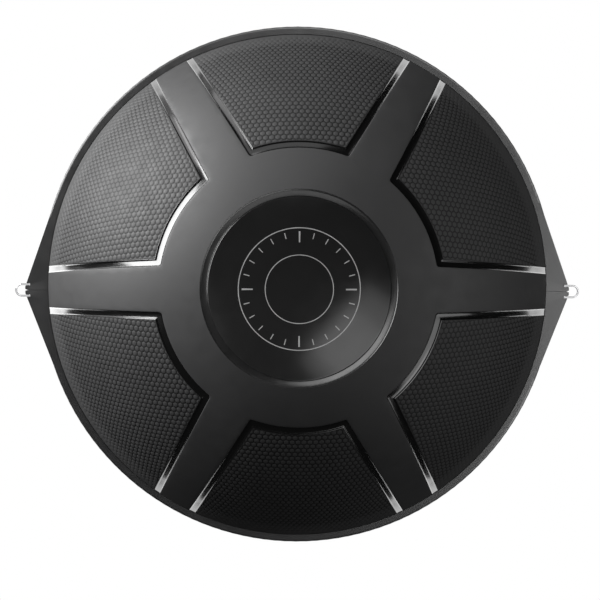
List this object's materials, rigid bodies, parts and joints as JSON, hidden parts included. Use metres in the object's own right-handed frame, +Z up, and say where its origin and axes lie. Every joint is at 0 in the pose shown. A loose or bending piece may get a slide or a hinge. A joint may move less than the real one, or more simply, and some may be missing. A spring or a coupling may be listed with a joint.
{
  "type": "balance dome trainer",
  "caption": "Half-ball balance trainer: inflated dome with textured tread panels, clamped in a rim ring on a rigid platform, with wire band loops and carry grips.",
  "frame": {"origin": "on the floor under the middle of the dome, at the feet's lower faces", "axes": "+Z up through the dome's top; X through the two ears and their band loops; +Y towards the rear ring half"},
  "size_m": [0.6604, 0.6, 0.1947],
  "materials": {
    "dome_vinyl": "satin spokes and hub, glossy grooves and disc, pebbled tread panels",
    "ring_plastic": "satin",
    "shell_plastic": "fine moulded grain",
    "handle_plastic": "satin",
    "grip_rubber": "matte",
    "foot_rubber": "matte",
    "valve_plastic": "smooth",
    "loop_wire": "polished plating",
    "screw_steel": "zinc plated"
  },
  "bodies": {
    "base": {"base_wall": "shell_plastic", "base_deck": "shell_plastic", "base_ribs": "shell_plastic", "pocket_left": "shell_plastic", "pocket_right": "shell_plastic", "valve_cup": "shell_plastic", "ring_rear": "ring_plastic", "ring_front": "ring_plastic", "dome_bladder": "dome_vinyl", "valve_seat": "valve_plastic", "handle_left": "handle_plastic", "handle_right": "handle_plastic", "grip_left": "grip_rubber", "grip_right": "grip_rubber", "ring_screws": "screw_steel", "splice_screws": "screw_steel", "splice_nuts": "screw_steel", "handle_screws": "screw_steel", "foot_1": "foot_rubber", "foot_2": "foot_rubber", "foot_3": "foot_rubber", "foot_4": "foot_rubber", "foot_5": "foot_rubber", "foot_6": "foot_rubber", "foot_7": "foot_rubber", "foot_8": "foot_rubber"},
    "loop_left": {"loop_left": "loop_wire"},
    "loop_right": {"loop_right": "loop_wire"},
    "plug": {"valve_plug": "valve_plastic"}
  },
  "joints": [
    {"name": "loop_left_hinge", "type": "hinge", "parent": "base", "child": "loop_left", "pos_m": [-0.3132, 0, 0.0505], "axis": [0, 1, 0], "range_deg": [0, 110]},
    {"name": "loop_right_hinge", "type": "hinge", "parent": "base", "child": "loop_right", "pos_m": [0.3132, 0, 0.0505], "axis": [0, -1, 0], "range_deg": [0, 110]},
    {"name": "plug_pull", "type": "slide", "parent": "base", "child": "plug", "axis": [0, 0, -1], "range_m": [0, 0.022]}
  ]
}
